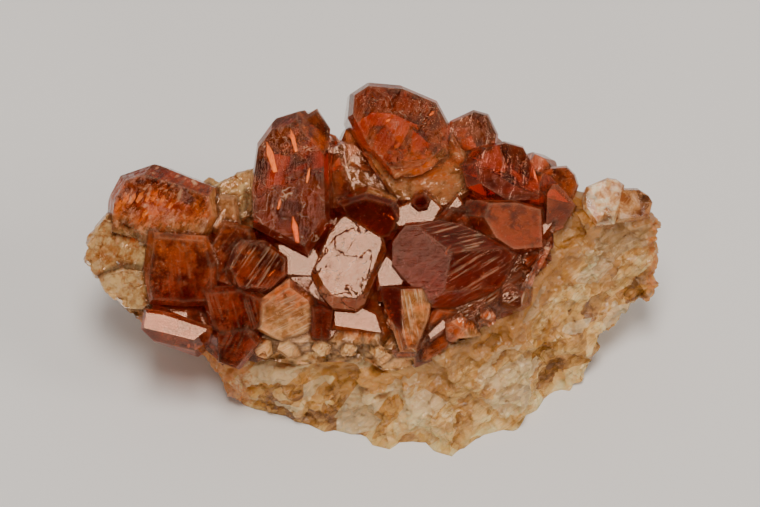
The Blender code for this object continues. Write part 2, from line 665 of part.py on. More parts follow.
def centre(bodies):
    """Moves the bodies so that the origin is on the resting plane, under the middle of the box."""
    places = np.array([vertex.co for body in bodies for vertex in body.data.vertices])
    low, high = places.min(axis=0), places.max(axis=0)
    shift = Vector((-(low[0] + high[0]) / 2, -(low[1] + high[1]) / 2, -low[2]))
    for body in bodies:
        body.data.transform(Matrix.Translation(shift))


def main():
    for old in list(bpy.data.objects):
        bpy.data.objects.remove(old)

    crust = make_crust("crystal_crust", make_bed("bed"), 0)
    combine(crust, [united("room", end_crystals(JOINT_GAP))], "DIFFERENCE")
    mend(crust)
    pair = united("end_crystals", end_crystals(0))
    mend(pair)

    bed = make_bed("bed")
    crust_seat = make_crust("crust_seat", swollen(bed, JOINT_GAP), JOINT_GAP)
    bpy.data.objects.remove(bed)
    rock = make_rock()
    combine(rock, [crust_seat, united("pair_seat", end_crystals(JOINT_GAP))], "DIFFERENCE")
    mend(rock)

    centre([rock, crust, pair])
    finish(rock, (0.62, 0.47, 0.29), 0.45)
    finish(crust, (0.30, 0.07, 0.025), 0.12)
    finish(pair, (0.55, 0.36, 0.22), 0.12)


if __name__ == "__main__":
    main()
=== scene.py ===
"""Looks of the colemanite specimen: pale massive colemanite, the red-brown crystals that crust it
and the pale pair at its right end, on a pale floor in soft studio light.

Sizes are in millimetres where a name or comment says so, and in metres in Blender."""

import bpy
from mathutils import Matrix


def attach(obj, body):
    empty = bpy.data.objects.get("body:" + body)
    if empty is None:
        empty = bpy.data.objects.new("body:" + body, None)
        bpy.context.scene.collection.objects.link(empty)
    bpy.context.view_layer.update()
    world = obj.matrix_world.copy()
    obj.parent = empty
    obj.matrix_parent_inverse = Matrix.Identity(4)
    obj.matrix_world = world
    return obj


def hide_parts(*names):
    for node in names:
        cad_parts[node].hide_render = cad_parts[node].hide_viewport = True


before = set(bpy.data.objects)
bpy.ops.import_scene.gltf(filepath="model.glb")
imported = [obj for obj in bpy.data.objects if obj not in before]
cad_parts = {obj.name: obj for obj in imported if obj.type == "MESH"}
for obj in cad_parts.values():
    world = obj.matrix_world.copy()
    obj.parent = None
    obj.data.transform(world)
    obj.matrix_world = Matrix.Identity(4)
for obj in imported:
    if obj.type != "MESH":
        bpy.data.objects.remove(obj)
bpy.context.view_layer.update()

import math
import random
from collections import namedtuple

import bmesh
import bpy
import numpy as np
from mathutils import Matrix, Vector, kdtree, noise
from mathutils.bvhtree import BVHTree


# Matrix: a broken wedge of massive colemanite, cream to honey and translucent. It is a mass of
# grown-together grains that broke along their cleavage, so its skin is tilted chips and ledges.
# The crystals grew from it, so its skin is drawn up to theirs all along the crust.
MM = 0.001
FACE_TILT = math.radians(52)
ACROSS = Vector((1, 0, 0))
UPSLOPE = Vector((0, math.sin(FACE_TILT), math.cos(FACE_TILT)))
OUTWARD = Vector((0, -math.cos(FACE_TILT), math.sin(FACE_TILT)))
LEANING_ORIGIN = Vector((-0.2089, -25.376, 0))
SAME_PLACE = 1e-6
CHIP_EDGE = 0.62
CHIP_LAYERS = ((5.2, 0.52), (2.3, 0.36), (1.1, 0.20))
CONTACT_REACH = 0.75
CONTACT_DEPTH = 0.08
STAIN_AND_SHADE_REACH = 5.0
GRAIN_LEAN = (0.0, -0.36, 0.50)
GRAIN_STRETCH = (3.3, 0.55, 0.55)
CHIP_STRETCH = (1.9, 1.0, 0.85)
HONEY = (0.66, 0.29, 0.06, 1)
UMBER_SHADE = (0.20, 0.06, 0.015, 1)
BRONZE = (0.36, 0.13, 0.02, 1)
PANE_HIGHLIGHT = (1.0, 0.82, 0.50, 1)
RUST = (0.60, 0.17, 0.02, 1)


class Field:
    """A value, colour or vector in a material's node tree, which can be reckoned with."""

    def __init__(self, tree, socket=None):
        self.tree = tree
        self.socket = socket

    def node(self, kind, settings=None, inputs=None, output=0):
        made = self.tree.nodes.new("ShaderNode" + kind)
        for name, setting in (settings or {}).items():
            if name == "stops":
                ramp = made.color_ramp.elements
                while len(ramp) < len(setting):
                    ramp.new(0.5)
                for element, (place, rgb) in zip(ramp, setting):
                    element.position, element.color = place, (*rgb, 1)
            else:
                setattr(made, name, setting)
        for key, value in (inputs or {}).items():
            if isinstance(value, Field):
                self.tree.links.new(value.socket, made.inputs[key])
            else:
                made.inputs[key].default_value = value
        return Field(self.tree, made.outputs[output] if made.outputs else None)

    def maths(self, operation, *values):
        return self.node("Math", {"operation": operation}, dict(enumerate(values)))

    def size(self):
        return self.maths("ABSOLUTE", self)

    def most(self, other):
        return self.maths("MAXIMUM", self, other)

    def __add__(self, other):
        return self.maths("ADD", self, other)

    def __radd__(self, other):
        return self.maths("ADD", other, self)

    def __sub__(self, other):
        return self.maths("SUBTRACT", self, other)

    def __rsub__(self, other):
        return self.maths("SUBTRACT", other, self)

    def __mul__(self, other):
        return self.maths("MULTIPLY", self, other)

    def __rmul__(self, other):
        return self.maths("MULTIPLY", other, self)

    def __truediv__(self, other):
        return self.maths("DIVIDE", self, other)

    def __pow__(self, other):
        return self.maths("POWER", self, other)

    def between(self, low, high):
        """0 below low and 1 above high, eased in between."""
        ends = {"Value": self, "From Min": low, "From Max": high}
        return self.node("MapRange", {"interpolation_type": "SMOOTHSTEP"}, ends)

    def blend(self, other, share, mode="MIX"):
        """This colour with the other laid over it by that share."""
        kinds = {"data_type": "RGBA", "blend_type": mode}
        return self.node("Mix", kinds, {0: share, 6: self, 7: other}, 2)

    def vector(self, operation, other, output=0):
        return self.node("VectorMath", {"operation": operation}, {0: self, 1: other}, output)

    def scaled(self, amount):
        return self.node("VectorMath", {"operation": "SCALE"}, {0: self, "Scale": amount})

    def attribute(self, name, output="Fac"):
        return self.node("Attribute", {"attribute_name": name}, None, output)

    def ramp(self, *stops):
        """A colour picked by this value from (value, colour) stops."""
        return self.node("ValToRGB", {"stops": stops}, {"Fac": self})

    def noise(self, place, scale, detail=4.0, roughness=0.6, warp=0.0):
        """Cloudy noise, with this many lumps a millimetre."""
        inputs = {
            "Vector": place, "Scale": scale, "Detail": detail, "Roughness": roughness,
            "Distortion": warp,
        }
        return self.node("TexNoise", None, inputs)


def material_tree(name):
    """A new material, its start field, and object coordinates in millimetres."""
    material = bpy.data.materials.new(name)
    material.use_nodes = True
    material.node_tree.nodes.clear()
    start = Field(material.node_tree)
    place = start.node("TexCoord", output="Object").scaled(1 / MM)
    return material, start, place


def merged(name):
    """A node's solid as one joined mesh, its loose triangles merged."""
    shape = bmesh.new()
    shape.from_mesh(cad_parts[name].data)
    bmesh.ops.remove_doubles(shape, verts=shape.verts[:], dist=SAME_PLACE)
    return shape


def refine(shape, longest, wanted=lambda face: True):
    """Halves the edges of wanted faces until none is longer than that many millimetres."""
    keep = shape.faces.layers.int.new("refined")
    for face in shape.faces:
        face[keep] = wanted(face)
    for _ in range(7):
        long = [
            edge for edge in shape.edges
            if edge.calc_length() > longest * MM and any(face[keep] for face in edge.link_faces)
        ]
        if not long:
            break
        bmesh.ops.subdivide_edges(shape, edges=long, cuts=1)
        bmesh.ops.triangulate(shape, faces=[face for face in shape.faces if len(face.verts) > 3])
    shape.faces.layers.int.remove(keep)


def piece(name, shape, material):
    """A finished object of that shape in that material."""
    mesh = bpy.data.meshes.new(name)
    shape.to_mesh(mesh)
    shape.free()
    mesh.materials.append(material)
    made = bpy.data.objects.new(name, mesh)
    bpy.context.scene.collection.objects.link(made)
    return made


def leaning(point):
    """Across, up and out, in millimetres, of a world point in the crystals' leaning frame."""
    place = point / MM - LEANING_ORIGIN
    return place.dot(ACROSS), place.dot(UPSLOPE), place.dot(OUTWARD)


def chip_height(place, layers):
    """How far the broken skin stands out at a place: tilted chips of several sizes."""
    height = 0.0
    for size, amount in layers:
        middle = noise.voronoi(place / size)[1][0]
        tilt = noise.cell_vector(middle * 11.3) * 2 - Vector((1, 1, 1))
        height += amount * (noise.cell(middle * 7.7) - 0.6 + tilt.dot(place / size - middle))
    return height


crust_tree = BVHTree.FromBMesh(merged("crystal_crust"))
pair_tree = BVHTree.FromBMesh(merged("end_crystals"))


def nearest_crystal(point):
    """Nearest spot on the crystals, the way out of it, and how many millimetres off it is."""
    spots = [tree.find_nearest(point) for tree in (crust_tree, pair_tree)]
    spot, outwards, _, gap = min(spots, key=lambda found: found[3])
    return spot, outwards, gap / MM


def shows(face):
    """True for a face of the rock that is neither its seat in the crust nor its underside."""
    return face.normal.z > -0.99 and any(
        nearest_crystal(vertex.co)[2] > CONTACT_REACH for vertex in face.verts
    )


rock_shape = merged("matrix")
refine(rock_shape, CHIP_EDGE, shows)

# stain: how near each vertex is to the crystals, for the honey stain near them and the painted shade where the rock
# meets them.
stain = rock_shape.verts.layers.float.new("stain")
rock_shape.normal_update()
moves = []
for vertex in rock_shape.verts:
    spot, outwards, gap = nearest_crystal(vertex.co)
    vertex[stain] = math.exp(-gap / STAIN_AND_SHADE_REACH)
    if gap < CONTACT_REACH:
        moves.append((vertex, spot - outwards * CONTACT_DEPTH * MM))
    elif vertex.co.z > 0.4 * MM:
        ease = min(1.0, (gap - CONTACT_REACH) / 1.5) * min(1.0, vertex.co.z / MM / 1.5)
        height = chip_height(vertex.co / MM, CHIP_LAYERS)
        moves.append((vertex, vertex.co + vertex.normal * height * ease * MM))
for vertex, place in moves:
    vertex.co = place

massive, start, place = material_tree("massive_colemanite")


def shards(place, size, steep, seed=0.0):
    """Broken grains of that many millimetres: how far in millimetres each stands out where its
    face leans by up to that slope, its shade from 0 to 1, and cleavage lines that run its way."""
    shifted = place.vector("ADD", (seed, seed, seed))
    cells = {"Vector": shifted, "Scale": 1 / size}
    kind = {"feature": "F1"}
    shade = place.node("TexVoronoi", kind, cells, "Color")
    middle = place.node("TexVoronoi", kind, cells, "Position")
    slant = shade.vector("SUBTRACT", (0.5, 0.5, 0.5)).scaled(2 * steep)
    height = slant.vector("DOT_PRODUCT", shifted.vector("SUBTRACT", middle), "Value")
    run = slant.vector("DOT_PRODUCT", shifted.scaled(3.0 / steep), "Value")
    lines = place.node("TexNoise", {"noise_dimensions": "1D"}, {"W": run, "Scale": 1.0, "Detail": 2.0})
    return height, place.node("SeparateColor", None, {"Color": shade}), lines


broad = start.noise(place, 0.12, 4.0, 0.6)
mottle = start.noise(place, 0.9, 5.0, 0.7)


def stretched(place, amount):
    """A place in a pattern that is drawn out along the rock's grain."""
    inputs = {"Vector": place, "Rotation": GRAIN_LEAN, "Scale": amount}
    return place.node("Mapping", {"vector_type": "TEXTURE"}, inputs)


grain = start.noise(stretched(place, GRAIN_STRETCH), 1.0, 4.0, 0.65)
height, shade, lines = shards(stretched(place, CHIP_STRETCH), 3.4, 0.50)
small_height, small_shade, _ = shards(stretched(place, CHIP_STRETCH), 1.1, 0.60, 7.3)
near = start.attribute("stain")
tone = broad * 0.54 + mottle * 0.12 + grain * 0.20 + shade * 0.20 + small_shade * 0.08
body = tone.ramp(
    (0.44, (0.22, 0.08, 0.015)), (0.52, (0.56, 0.26, 0.06)), (0.61, (0.92, 0.54, 0.18)),
    (0.70, (1.0, 0.75, 0.36)),
)
honeyed = (near * 0.9 + (grain - 0.5) * 1.4).between(0.03, 0.50) * 0.85
body = body.blend(HONEY, honeyed)
# Darker umber in patches right at the crystals: painted shade where the rock meets them.
body = body.blend(UMBER_SHADE, (near * 1.0 + (mottle - 0.5) * 1.4).between(0.75, 1.20) * 0.25)
body = body.blend((0.36, 0.15, 0.04, 1), lines.between(0.56, 0.70) * 0.30)
# Pale cream on some large chips: painted highlights, as if flat cleavage faces caught the light.
_, pane_highlight, _ = shards(stretched(place, CHIP_STRETCH), 3.9, 0.2, 3.1)
body = body.blend(PANE_HIGHLIGHT, pane_highlight.between(0.62, 0.68) * 0.42)
along = start.node("SeparateXYZ", None, {"Vector": place})
body = body.blend(BRONZE, honeyed * along.between(3.0, 14.0) * 0.65)
ends = along.between(43.5, 47.5).most(1.0 - along.between(-22.0, -17.0))
body = body.blend(RUST, (ends * 0.7 + (mottle - 0.5) * 1.6).between(0.45, 0.85) * 0.8)
skin = height * 1.2 + small_height + lines * 0.12 + grain * 0.30 + mottle * 0.12
bump = start.node("Bump", None, {"Height": skin, "Strength": 0.9, "Distance": MM})
surface = start.node("BsdfPrincipled", {"subsurface_method": "RANDOM_WALK"}, {
    "Base Color": body, "Roughness": 0.03 + small_shade * 0.16, "IOR": 1.59, "Normal": bump,
    "Subsurface Weight": 0.30, "Subsurface Radius": (1.0, 0.55, 0.25), "Subsurface Scale": 0.0025,
})
start.node("OutputMaterial", None, {"Surface": surface})

rock = piece("massive_matrix", rock_shape, massive)
rock.data.shade_smooth()
rock.data.set_sharp_from_angle(angle=math.radians(24))
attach(rock, "root")
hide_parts("matrix")


# Crust: stubby crystals, clear as dark honey and coloured red-brown by iron, that grew into each
# other. Each crystal's faces are flat, sharp-edged and finely stepped, and its inside holds
# clouds, cracks and zones of deeper colour.
FACET_BEND = math.radians(1.0)
FACET_EDGE = 0.9
BROKEN_EDGE = 0.5
EDGE_STEP = 0.25
RIM_HIGHLIGHT_WIDTH = 0.5
CREVICE_SHADE_WIDTH = 1.3
LUMP_LAYERS = ((3.6, 0.60), (1.6, 0.22))
PEEK = 1.2
FACET_SEED = 11
BELONGS = 1.12

# Each crystal: the middle of its broad face (across, up), how far it reaches from there, the
# level of the face, its iron at the root and at the tip, how cloudy it is, how strongly it is
# striated, the striae's slope on its broad face in degrees, how uneven its growth steps are, how
# broken its skin is, and how many veils it holds.
Look = namedtuple("Look", "middle reach level root_iron tip_iron cloud striae slope steps broken veils")
CRYSTALS = {
    "honey_block": Look((-35.5, 41.5), (8.8, 6.8), 5.0, 0.08, 0.95, 0.36, 0.3, 60, 1.0, 0.0, 0.3),
    "outer_lobe": Look((-43.0, 34.3), (5.8, 5.8), 3.6, -0.15, 0.05, 0.50, 0.2, 50, 0.8, 1.0, 0.5),
    "lower_lobe": Look((-40.7, 27.5), (5.0, 4.2), 4.0, -0.20, -0.05, 0.45, 0.2, 60, 0.8, 0.9, 0.5),
    "red_block": Look((-31.6, 31.0), (5.6, 5.7), 7.6, 1.00, 0.50, 0.32, 0.4, 95, 0.3, 0.0, 0.4),
    "mirror_foot": Look((-32.3, 21.8), (5.9, 3.2), 8.2, 0.70, 0.75, 0.30, 0.0, 10, 0.0, 0.0, 0.0),
    "saddle_back": Look((-24.0, 43.2), (4.2, 5.2), 0.8, -0.15, -0.05, 0.50, 0.4, 40, 0.6, 0.6, 0.4),
    "saddle_front": Look((-25.6, 40.4), (3.2, 3.1), 3.4, 0.30, 0.25, 0.60, 0.3, 60, 0.5, 0.0, 0.0),
    "tall": Look((-14.0, 45.0), (6.4, 10.6), 8.6, 1.00, 0.60, 0.25, 0.3, 85, 0.12, 0.0, 1.0),
    "tall_cap": Look((-9.3, 53.8), (2.6, 3.7), 5.2, 0.60, 0.55, 0.35, 0.3, 70, 0.2, 0.0, 0.0),
    "hexagon": Look((-18.9, 31.6), (4.8, 4.1), 9.2, 0.95, 0.70, 0.28, 1.3, 55, 0.10, 0.0, 0.0),
    "hexagon_shoulder": Look((-23.4, 33.4), (4.0, 5.6), 6.4, 0.85, 0.60, 0.35, 0.4, 50, 0.2, 0.0, 0.0),
    "low_left": Look((-22.7, 23.0), (5.1, 4.6), 8.2, 0.95, 0.85, 0.25, 0.7, 105, 0.3, 0.0, 0.0),
    "low_left_wedge": Look((-22.6, 17.8), (3.5, 3.4), 7.4, 0.95, 0.90, 0.30, 0.5, 60, 0.1, 0.0, 0.0),
    "silky": Look((-13.9, 23.2), (4.6, 5.1), 9.0, 0.10, 0.50, 0.70, 1.7, 27, 0.3, 0.0, 0.0),
    "silky_corner": Look((-8.0, 21.8), (1.8, 2.8), 8.8, 0.95, 0.95, 0.25, 0.6, 90, 0.0, 0.0, 0.0),
    "mirror_upper": Look((-12.0, 32.5), (3.7, 2.9), 7.2, 0.70, 0.70, 0.20, 0.0, 90, 0.0, 0.0, 0.0),
    "mirror_lower": Look((-11.2, 27.0), (4.1, 3.3), 8.6, 0.55, 0.55, 0.35, 0.2, 90, 0.0, 0.0, 0.0),
    "silver": Look((-4.3, 33.0), (6.1, 6.9), 10.4, 0.30, 0.60, 0.25, 0.25, 60, 0.0, 0.0, 1.0),
    "mirror_below": Look((-2.3, 22.6), (4.0, 2.4), 8.4, 0.40, 0.55, 0.30, 0.0, 0, 0.0, 0.0, 0.0),
    "mirror_right": Look((3.1, 30.7), (2.6, 2.5), 8.8, 0.70, 0.70, 0.20, 0.0, 90, 0.0, 0.0, 0.0),
    "dark_red": Look((-0.3, 39.5), (4.9, 3.5), 6.6, 0.85, 0.82, 0.12, 0.0, 90, 0.0, 0.0, 0.0),
    "clear_back": Look((-2.0, 46.8), (5.2, 5.4), -0.4, 0.20, 0.26, 0.26, 0.3, 100, 0.2, 0.0, 0.4),
    "clear_brown": Look((-5.5, 45.3), (2.0, 4.4), 2.6, 0.55, 0.50, 0.25, 0.4, 95, 0.1, 0.0, 0.0),
    "red_leaning": Look((7.0, 22.8), (2.6, 5.1), 12.0, 0.45, 0.20, 0.45, 1.5, 100, 0.3, 0.0, 0.0),
    "red_split": Look((10.6, 20.2), (3.2, 4.0), 9.6, 0.75, 0.70, 0.40, 0.5, 30, 0.4, 0.0, 0.4),
    "slot_mirror": Look((10.8, 21.1), (1.6, 1.6), 10.6, 0.60, 0.60, 0.30, 0.0, 0, 0.0, 0.0, 0.0),
    "great": Look((4.8, 54.6), (8.1, 7.2), 4.6, 0.50, 0.92, 0.34, 0.2, 60, 0.07, 0.0, 0.7),
    "great_foot": Look((7.8, 47.3), (8.6, 5.9), 3.4, 0.16, 0.40, 0.42, 0.4, 30, 0.6, 0.3, 0.4),
    "slate": Look((6.6, 31.0), (6.0, 7.6), 11.9, 1.0, 0.92, 0.12, 0.35, 5, 0.0, 0.0, 0.3),
    "slate_apex": Look((18.0, 31.0), (6.6, 6.8), 11.9, 0.75, 0.98, 0.16, 1.5, 27, 0.05, 0.0, 0.0),
    "broad_tan": Look((23.3, 38.1), (5.2, 4.2), 8.0, 0.80, 0.72, 0.28, 0.0, 90, 0.0, 0.0, 0.0),
    "smoky": Look((22.6, 47.2), (5.7, 5.0), 4.9, 1.15, 0.75, 0.22, 0.25, 80, 0.08, 0.0, 0.5),
    "orange_top": Look((16.8, 54.0), (4.3, 3.4), 0.8, 0.60, 0.80, 0.35, 0.2, 80, 0.10, 0.0, 0.4),
    "far_shoulder": Look((31.3, 45.5), (3.2, 2.7), 1.2, 0.45, 0.60, 0.40, 0.2, 70, 0.2, 0.0, 0.5),
    "plate": Look((31.5, 40.8), (2.7, 4.5), 5.0, 0.80, 0.72, 0.25, 0.1, 90, 0.0, 0.0, 0.0),
    "mirror_high": Look((7.6, 40.6), (4.0, 2.6), 6.4, 0.45, 0.45, 0.30, 0.0, 0, 0.0, 0.0, 0.0),
    "mirror_bead": Look((8.0, 42.0), (1.5, 1.4), 7.3, 0.95, 0.95, 0.10, 0.0, 0, 0.0, 0.0, 0.0),
    "mirror_chip": Look((13.8, 41.8), (1.2, 1.3), 6.2, 0.45, 0.45, 0.30, 0.0, 0, 0.0, 0.0, 0.0),
    "between": Look((14.9, 39.0), (3.6, 2.4), 6.6, 0.90, 0.90, 0.30, 0.2, 30, 0.1, 0.0, 0.0),
}
BED_LOOK = Look(None, None, 0.0, 0.05, 0.85, 0.75, 0.5, 60, 0.9, 0.8, 0.0)
BED_FOOT, BED_TOP = 18.0, 25.0
LOOKS = [*CRYSTALS.values(), BED_LOOK]
MIRRORS = [CRYSTALS[name] for name in CRYSTALS if "mirror" in name or name == "silver"]
MIRROR_WAY = (OUTWARD * math.cos(math.radians(12)) + UPSLOPE * math.sin(math.radians(12))).normalized()
MIRROR_CLOSE = math.cos(math.radians(5.5))


def crystal_at(point):
    """The look of the crystal that a point lies in, or of the bed of small crystals."""
    across, up, out = leaning(point)
    best, nearest = BED_LOOK, BELONGS
    for look in CRYSTALS.values():
        off = max(abs(across - look.middle[0]) / look.reach[0], abs(up - look.middle[1]) / look.reach[1])
        if off < nearest and out < look.level + 0.8:
            best, nearest = look, off
    return best


def iron_at(look, up):
    """How much iron a crystal, or the bed, holds that far up the slope."""
    rise = (up - BED_FOOT) / (BED_TOP - BED_FOOT)
    if look.middle:
        rise = (up - look.middle[1]) / look.reach[1] * 0.6 + 0.5
    return look.root_iron + (look.tip_iron - look.root_iron) * min(1.0, max(0.0, rise))


crust_shape = merged("crystal_crust")
bmesh.ops.dissolve_limit(
    crust_shape, angle_limit=FACET_BEND, verts=crust_shape.verts[:], edges=crust_shape.edges[:]
)
lies = crust_shape.loops.layers.uv.new("facet")
owner = crust_shape.faces.layers.int.new("owner")
cloudy = crust_shape.faces.layers.float.new("cloud")
striated = crust_shape.faces.layers.float.new("striae")
stepped = crust_shape.faces.layers.float.new("steps")
veiled = crust_shape.faces.layers.float.new("veils")
cracked = crust_shape.faces.layers.float.new("cracked")
broken = crust_shape.faces.layers.float.new("broken")
random.seed(FACET_SEED)
for face in crust_shape.faces:
    normal = face.normal.copy()
    middle = face.calc_center_median()
    look = crystal_at(middle - normal * PEEK * MM)
    face[owner] = LOOKS.index(look)
    face[cloudy] = look.cloud * random.uniform(0.8, 1.2)
    face[striated] = look.striae * random.uniform(0.5, 1.2)
    face[stepped] = look.steps * random.uniform(0.7, 1.2)
    if look not in MIRRORS and normal.dot(MIRROR_WAY) > MIRROR_CLOSE:
        face[stepped] = 1.0
    face[veiled] = look.veils
    face[cracked] = float(look is CRYSTALS["silver"])
    face[broken] = look.broken
    lean = math.radians(look.slope)
    growth = ACROSS * math.cos(lean) + UPSLOPE * math.sin(lean)
    along_striae = (growth - normal * growth.dot(normal)).normalized()
    across_striae = normal.cross(along_striae)
    shift = Vector((random.uniform(0, 50), random.uniform(0, 50)))
    for loop in face.loops:
        away = (loop.vert.co - middle) / MM
        loop[lies].uv = Vector((away.dot(across_striae), away.dot(along_striae))) + shift



def spots_along(edges):
    """A tree of spots along these edges, to find how far a point is from the nearest."""
    spots = []
    for edge in edges:
        first, last = (vertex.co for vertex in edge.verts)
        steps = max(1, round((last - first).length / MM / EDGE_STEP))
        spots += [first.lerp(last, step / steps) for step in range(steps + 1)]
    tree = kdtree.KDTree(len(spots))
    for number, spot in enumerate(spots):
        tree.insert(spot, number)
    tree.balance()
    return tree


proud_edges = spots_along(edge for edge in crust_shape.edges if edge.is_convex)
sunk_edges = spots_along(edge for edge in crust_shape.edges if not edge.is_convex)

bmesh.ops.triangulate(crust_shape, faces=crust_shape.faces[:])
refine(crust_shape, FACET_EDGE)
refine(crust_shape, BROKEN_EDGE, lambda face: face[broken] > 0.4)
# rim: how near a vertex is to a proud edge, for a painted pale highlight along the crystals' edges.
rim = crust_shape.verts.layers.float.new("rim")
# crevice: how near a vertex is to a sunk edge, for painted shade in the crevices between crystals.
crevice = crust_shape.verts.layers.float.new("crevice")
iron = crust_shape.verts.layers.float.new("iron")
crust_shape.normal_update()
moves = []
for vertex in crust_shape.verts:
    vertex[rim] = max(0.0, 1 - proud_edges.find(vertex.co)[2] / MM / RIM_HIGHLIGHT_WIDTH)
    vertex[crevice] = max(0.0, 1 - sunk_edges.find(vertex.co)[2] / MM / CREVICE_SHADE_WIDTH)
    _, up, _ = leaning(vertex.co)
    vertex[iron] = sum(iron_at(LOOKS[face[owner]], up) for face in vertex.link_faces) / len(vertex.link_faces)
    share = min(face[broken] for face in vertex.link_faces)
    if share > 0:
        sunk = min(0.0, chip_height(vertex.co / MM, LUMP_LAYERS))
        moves.append((vertex, vertex.co + vertex.normal * sunk * share * MM))
for vertex, spot in moves:
    vertex.co = spot
print("crust triangles", len(crust_shape.faces), "rock", sum(len(f.vertices) - 2 for f in rock.data.polygons))

clear_brown, start, place = material_tree("red_brown_crystal")
facet = start.node("UVMap", {"uv_map": "facet"})
murk = start.attribute("cloud")
# edge: a painted pale highlight along the proud edges.
edge = start.attribute("rim")
# gap: painted shade in the crevices between crystals.
gap = start.attribute("crevice").between(0.25, 1.0)

# Striae: fine parallel lines across a face, strong in some patches of it.
fine_lines = facet.vector("MULTIPLY", (2.6, 0.10, 1.0))
threads = start.noise(fine_lines, 1.0, 3.0, 0.65, 0.1)
patches = start.noise(facet.vector("MULTIPLY", (0.5, 0.22, 1.0)), 1.0, 2.0)
striae = start.attribute("striae") * patches.between(0.33, 0.52)
strands = threads.between(0.49, 0.62) * striae

# Growth steps: long narrow terraces, each leaning its own way.
long_steps = facet.vector("MULTIPLY", (2.4, 0.95, 0.0))
ledge = {"Vector": long_steps, "Scale": 1.0, "Randomness": 0.9}
flat = {"voronoi_dimensions": "2D", "distance": "CHEBYCHEV"}
step_way = start.node("TexVoronoi", flat, ledge, "Color").vector("SUBTRACT", (0.5, 0.5, 0.5))
step_middle = start.node("TexVoronoi", flat, ledge, "Position")
uneven = start.attribute("steps")
uneven_zone = start.noise(place, 0.4, 3.0).between(0.40, 0.60)
ledges = step_way.vector("DOT_PRODUCT", long_steps.vector("SUBTRACT", step_middle), "Value")
step_shade = start.node("SeparateXYZ", None, {"Vector": step_way})

# Veils: thin curved healed cracks, pale inside a crystal and dark on the silvery face.
clouds = start.noise(place, 0.2, 4.0, 0.6, 0.3)
wisps = start.noise(place, 0.7, 4.0, 0.7)
bend = start.noise(place, 0.28, 3.0, 0.5, 0.6)
veil = 1.0 - (bend - 0.5).size().between(0.0, 0.014)
veil = veil * start.attribute("veils") * clouds.between(0.40, 0.52)
cracked = start.attribute("cracked")
jag = start.noise(place, 0.16, 4.0, 0.55, 0.6)
crack = (1.0 - (jag - 0.50).size().between(0.0, 0.014)) * cracked

# Specks: bright nicks and dust, in about one cell of four.
sown = {"Vector": place, "Scale": 1.5}
speck = 1.0 - start.node("TexVoronoi", None, sown, "Distance").between(0.06, 0.13)
speck = speck * start.node("SeparateColor", None, {"Color": start.node("TexVoronoi", None, sown, "Color")}).between(0.72, 0.76)

iron_share = start.attribute("iron") + (clouds - 0.5) * 0.9
chips, shade, _ = shards(place, 1.9, 0.4)
terraces = start.noise(facet.vector("MULTIPLY", (0.30, 0.22, 1.0)), 1.0, 1.0, 0.4)
relief = threads * striae * 0.12 + chips * start.attribute("broken") * 0.8
relief = relief + ledges * uneven * (0.12 + uneven_zone * 0.88) * 0.36 + (terraces * 0.24 - crack * 0.08) * cracked
bump = start.node("Bump", None, {"Height": relief, "Strength": 1.0, "Distance": MM})
tint = iron_share.ramp((0.0, (1.0, 0.68, 0.24)), (0.45, (1.0, 0.38, 0.08)), (1.0, (0.92, 0.18, 0.05)))
clear = start.node("BsdfPrincipled", None, {
    "Base Color": tint, "Roughness": 0.02, "IOR": 1.59, "Transmission Weight": 1.0,
    "Specular Tint": (1.0, 0.62, 0.44, 1), "Normal": bump,
})
deep = iron_share.ramp((0.0, (0.62, 0.24, 0.05)), (0.45, (0.14, 0.012, 0.001)), (1.0, (0.03, 0.002, 0.001)))
glow = iron_share.ramp((0.0, (1.0, 0.66, 0.28)), (0.45, (0.85, 0.16, 0.015)), (1.0, (0.50, 0.05, 0.01)))
light_share = clouds * 0.9 + wisps * 0.7 + shade * 0.1 + step_shade * uneven * 0.2
colours = deep.blend(glow, light_share.between(0.66, 1.0))
# Pale marks: striae, veils and specks of the crystal itself, a painted highlight along proud edges, and painted
# glints on some cells of uneven growth steps.
pale_marks_and_highlights = (strands * 0.5).most(veil * 0.65).most(edge * 0.25).most(speck * 0.75)
pale_marks_and_highlights = pale_marks_and_highlights.most(uneven * (wisps + step_shade * 0.35).between(0.62, 0.76) * 0.7)
colours = colours.blend((1.0, 0.66, 0.40, 1), pale_marks_and_highlights)
# Near-black on the silvery face's cracks, and painted shade in the crevices.
colours = colours.blend((0.02, 0.004, 0.001, 1), crack.most(gap * 0.72))
clouded = start.node("BsdfPrincipled", None, {
    "Base Color": colours, "Roughness": 0.06 + crack * 0.8, "IOR": 1.59, "Normal": bump,
    "Specular Tint": (1.0, 0.62, 0.44, 1),
})
haze = murk * (0.3 + clouds * 1.2 + wisps * 0.4)
# The painted crevice shade also makes the faces there less clear.
cloud_share = haze.between(0.0, 0.9).most(pale_marks_and_highlights).most(crack).most(gap * 0.7) * 0.92
mixed = start.node("MixShader", None, {0: cloud_share, 1: clear, 2: clouded})
inside = start.node("VolumeAbsorption", None, {"Color": (0.85, 0.33, 0.07, 1), "Density": 260.0})
start.node("OutputMaterial", None, {"Surface": mixed, "Volume": inside})

crust = piece("red_brown_crystals", crust_shape, clear_brown)
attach(crust, "root")
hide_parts("crystal_crust")


# Inclusions: cracks and healed fractures inside the crystals, which catch the light as golden
# sparks and veils. Each is a flat fleck, and the flecks of one fracture lie along its plane.
FLECK_SEED = 23
FLECK_MARGIN = 0.35
VEILS_EACH = 5
FLECKS_IN_VEIL = 46
SPARKS_EACH = 26
VEIL_SIZE, SPARK_SIZE = (0.05, 0.16), (0.15, 0.75)
FLECK_WIDTH = (0.15, 0.7)
CRYSTAL_INDEX = 1.59
KEY_WAY = (OUTWARD * math.cos(math.radians(30)) + UPSLOPE * math.sin(math.radians(30))).normalized()
FLAKE_DEPTH = 0.65

